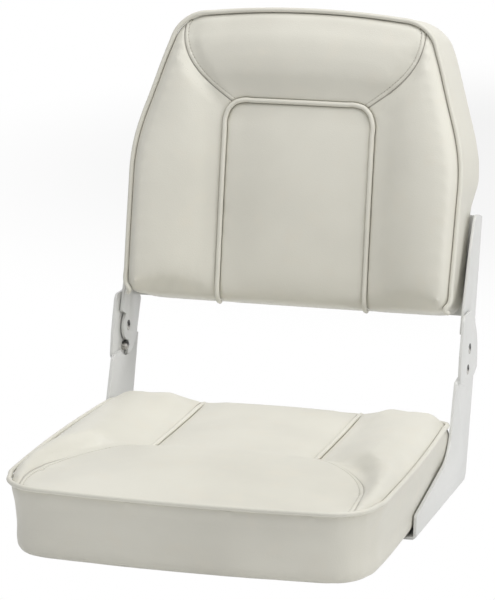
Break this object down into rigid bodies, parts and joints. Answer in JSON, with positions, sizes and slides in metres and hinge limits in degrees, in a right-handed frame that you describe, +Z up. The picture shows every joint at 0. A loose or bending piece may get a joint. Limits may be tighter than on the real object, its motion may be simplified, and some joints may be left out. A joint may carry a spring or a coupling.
{
  "type": "folding boat seat",
  "caption": "Padded folding seat with piped white vinyl cushions and a hinged backrest on white steel side arms that folds forward on to the seat.",
  "frame": {"origin": "middle of the part's bounding box in plan, on the plane of the two flanges' undersides that it stands on (z = 0)", "axes": "+Z up, the seat faces -Y, +X to the right as seen from the front; X is the hinge's direction and the part is the same on both sides of x = 0"},
  "size_m": [0.4096, 0.5588, 0.5181],
  "materials": {
    "off_white_vinyl": "satin",
    "white_painted_metal": "gloss",
    "stainless_steel": "satin",
    "plywood": "matte",
    "black_cover_cloth": "matte",
    "white_nylon": "matte"
  },
  "bodies": {
    "seat": {"seat_cushion": "off_white_vinyl", "seat_welt": "off_white_vinyl", "seat_seam_welt_right": "off_white_vinyl", "seat_seam_welt_left": "off_white_vinyl", "seat_board": "plywood", "seat_underside_cover": "black_cover_cloth", "seat_bolt_front_right": "stainless_steel", "seat_bolt_front_left": "stainless_steel", "seat_bolt_rear_right": "stainless_steel", "seat_bolt_rear_left": "stainless_steel", "t_nut_front_right": "stainless_steel", "t_nut_front_left": "stainless_steel", "t_nut_rear_right": "stainless_steel", "t_nut_rear_left": "stainless_steel", "lower_arm_right": "white_painted_metal", "lower_arm_left": "white_painted_metal", "pivot_sleeve_right": "stainless_steel", "pivot_sleeve_left": "stainless_steel", "pivot_screw_right": "stainless_steel", "pivot_screw_left": "stainless_steel", "pivot_washer_right": "white_nylon", "pivot_washer_left": "white_nylon", "stop_bolt_right": "stainless_steel", "stop_bolt_left": "stainless_steel", "stop_nut_right": "stainless_steel", "stop_nut_left": "stainless_steel"},
    "backrest": {"backrest_cushion": "off_white_vinyl", "backrest_welt": "off_white_vinyl", "backrest_arch_welt": "off_white_vinyl", "backrest_board": "plywood", "backrest_rear_panel": "off_white_vinyl", "upper_arm_right": "white_painted_metal", "upper_arm_left": "white_painted_metal", "arm_screw_right_1": "stainless_steel", "arm_screw_right_2": "stainless_steel", "arm_screw_right_3": "stainless_steel", "arm_screw_left_1": "stainless_steel", "arm_screw_left_2": "stainless_steel", "arm_screw_left_3": "stainless_steel"}
  },
  "joints": [
    {"name": "backrest_hinge", "type": "hinge", "parent": "seat", "child": "backrest", "pos_m": [0, 0.15305, 0.1525], "axis": [1, 0, 0], "range_deg": [0, 100]}
  ]
}
